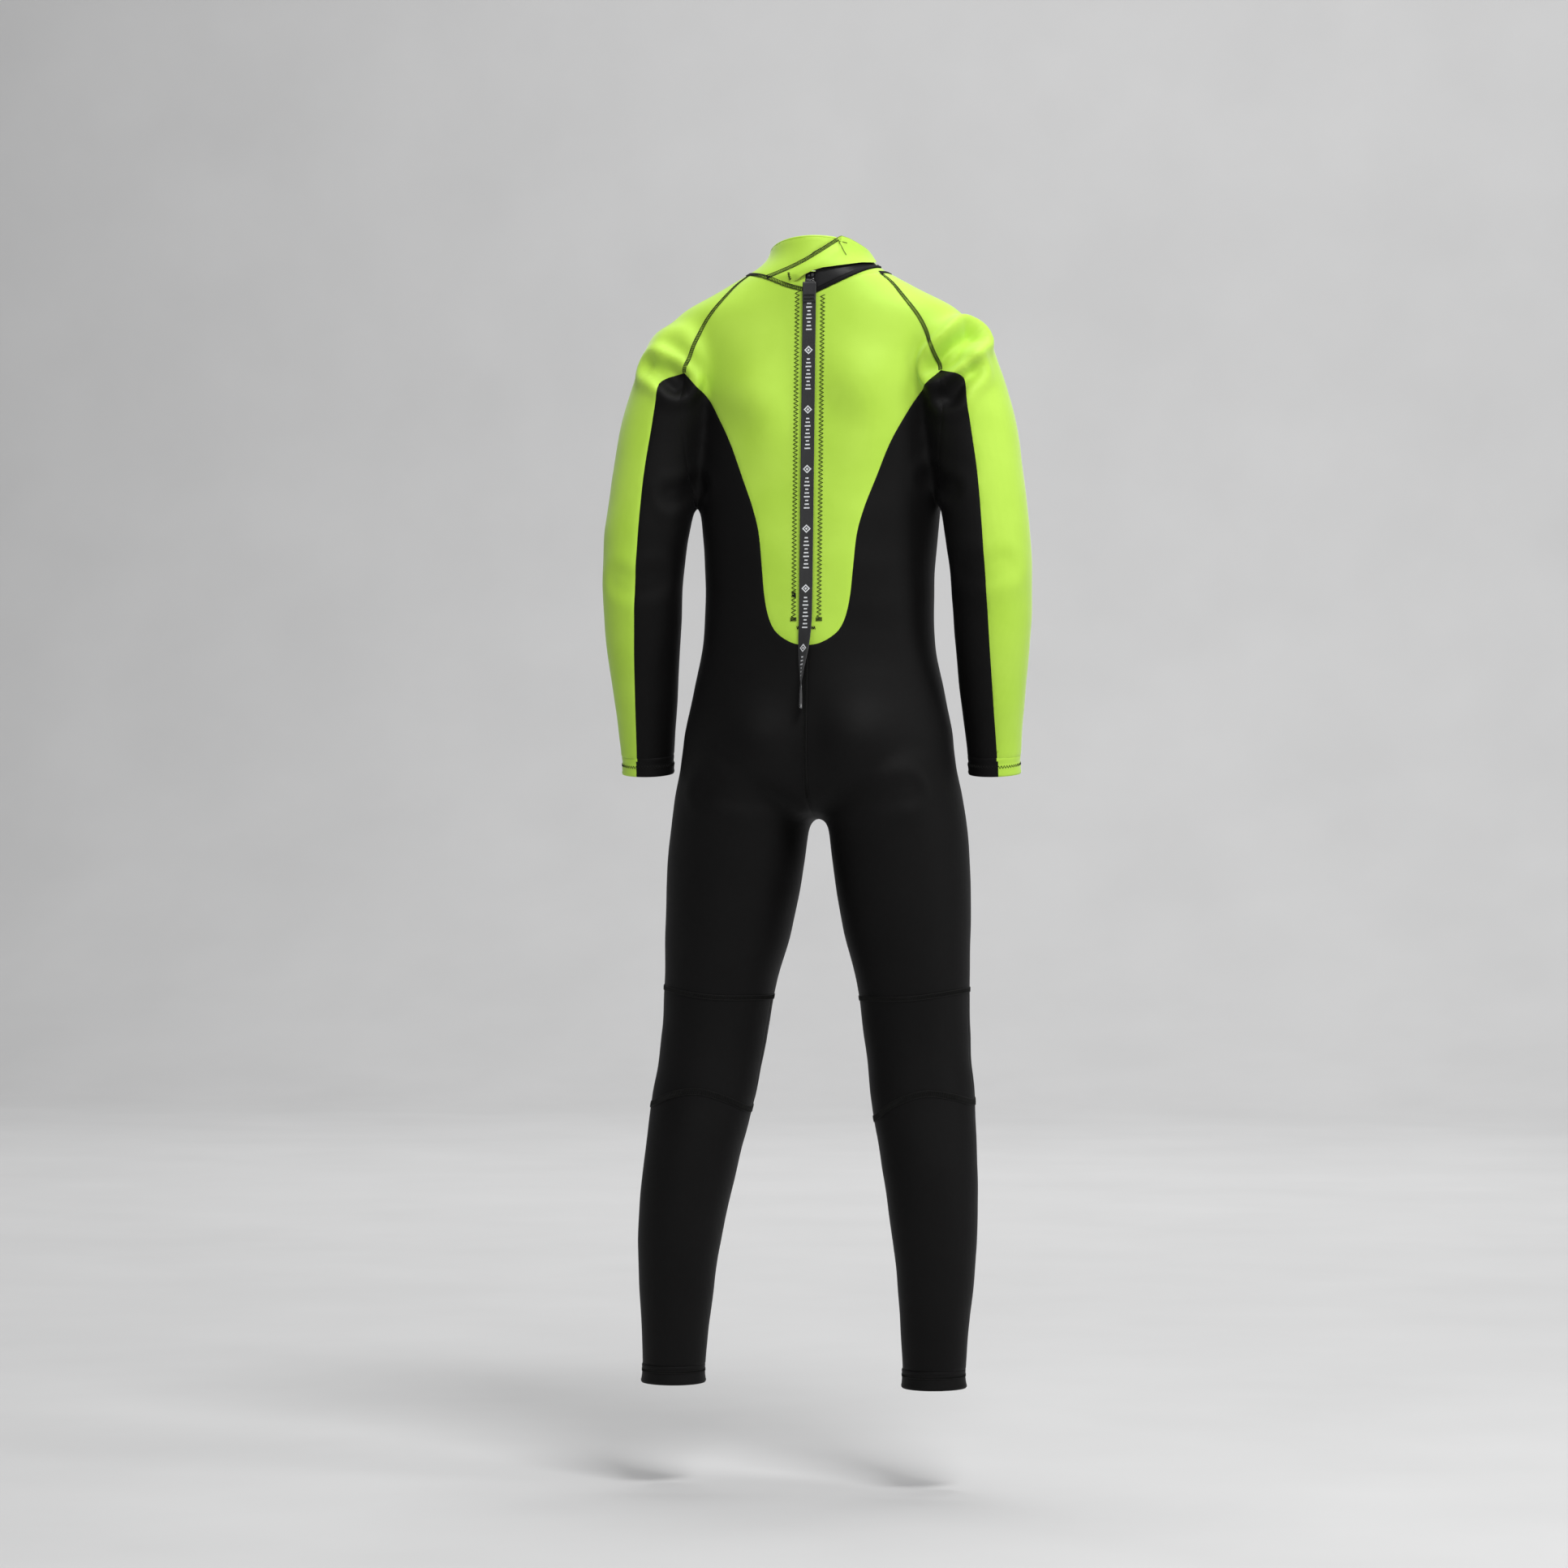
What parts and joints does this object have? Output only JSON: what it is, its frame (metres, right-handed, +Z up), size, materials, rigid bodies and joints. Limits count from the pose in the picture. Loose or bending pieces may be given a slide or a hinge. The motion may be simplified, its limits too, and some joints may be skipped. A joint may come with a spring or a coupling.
{
  "type": "full wetsuit",
  "caption": "Full-length back-zip youth wetsuit with long sleeves and legs, wrap-over collar, two-colour panels and a webbing zip leash, filled out as worn.",
  "frame": {"origin": "middle of the neck opening at the collar's top edge", "axes": "+X towards the wearer's right, +Y the way the wearer faces, +Z up"},
  "size_m": [0.4678, 0.2143, 1.2359],
  "materials": {
    "lime_neoprene": "satin jersey on neoprene",
    "black_neoprene": "satin jersey on neoprene",
    "smooth_skin": "smooth skin",
    "knee_rubber": "textured",
    "stitching": "thread",
    "hook_and_loop": "napped",
    "zip_tape": "woven",
    "zip_coil": "satin",
    "coated_metal": "gloss black",
    "steel": "satin",
    "webbing": "woven tape"
  },
  "bodies": {
    "suit": {"back_panel": "lime_neoprene", "front_panel": "smooth_skin", "collar_band": "lime_neoprene", "neck_gusset": "smooth_skin", "loop_patch": "hook_and_loop", "left_sleeve_top": "lime_neoprene", "right_sleeve_top": "lime_neoprene", "left_sleeve_under": "black_neoprene", "right_sleeve_under": "black_neoprene", "left_side_leg_panel": "black_neoprene", "right_side_leg_panel": "black_neoprene", "left_knee_back_panel": "black_neoprene", "right_knee_back_panel": "black_neoprene", "left_knee_pad": "knee_rubber", "right_knee_pad": "knee_rubber", "left_shin_panel": "black_neoprene", "right_shin_panel": "black_neoprene", "left_wrist_hem": "black_neoprene", "right_wrist_hem": "black_neoprene", "left_ankle_hem": "black_neoprene", "right_ankle_hem": "black_neoprene", "left_raglan_seam": "stitching", "right_raglan_seam": "stitching", "left_knee_seam": "stitching", "right_knee_seam": "stitching", "left_zip_stitch": "stitching", "right_zip_stitch": "stitching", "collar_seam": "stitching", "seat_seam": "stitching", "zip_tape": "zip_tape", "zip_coil_left": "zip_coil", "zip_coil_right": "zip_coil", "zip_top_stops": "steel", "zip_bottom_stop": "steel", "zip_underlay_flap": "black_neoprene"},
    "zip_slider_body": {"zip_slider": "coated_metal", "slider_pin": "steel"},
    "zip_puller_body": {"zip_puller": "coated_metal", "leash_loop": "webbing", "leash": "webbing"},
    "collar_flap_body": {"collar_flap": "lime_neoprene", "hook_patch": "hook_and_loop"}
  },
  "joints": [
    {"name": "zip_slide", "type": "slide", "parent": "suit", "child": "zip_slider_body", "axis": [0, -0.0698, -0.9976], "range_m": [0, 0.345]},
    {"name": "puller_swing", "type": "hinge", "parent": "zip_slider_body", "child": "zip_puller_body", "pos_m": [0, -0.06523, -0.03575], "axis": [-1, 0, 0], "range_deg": [0, 140]},
    {"name": "flap_open", "type": "hinge", "parent": "suit", "child": "collar_flap_body", "pos_m": [0.00718, -0.06475, -0.0235], "axis": [-0.4585, -0.3243, -0.8274], "range_deg": [0, 100]}
  ]
}
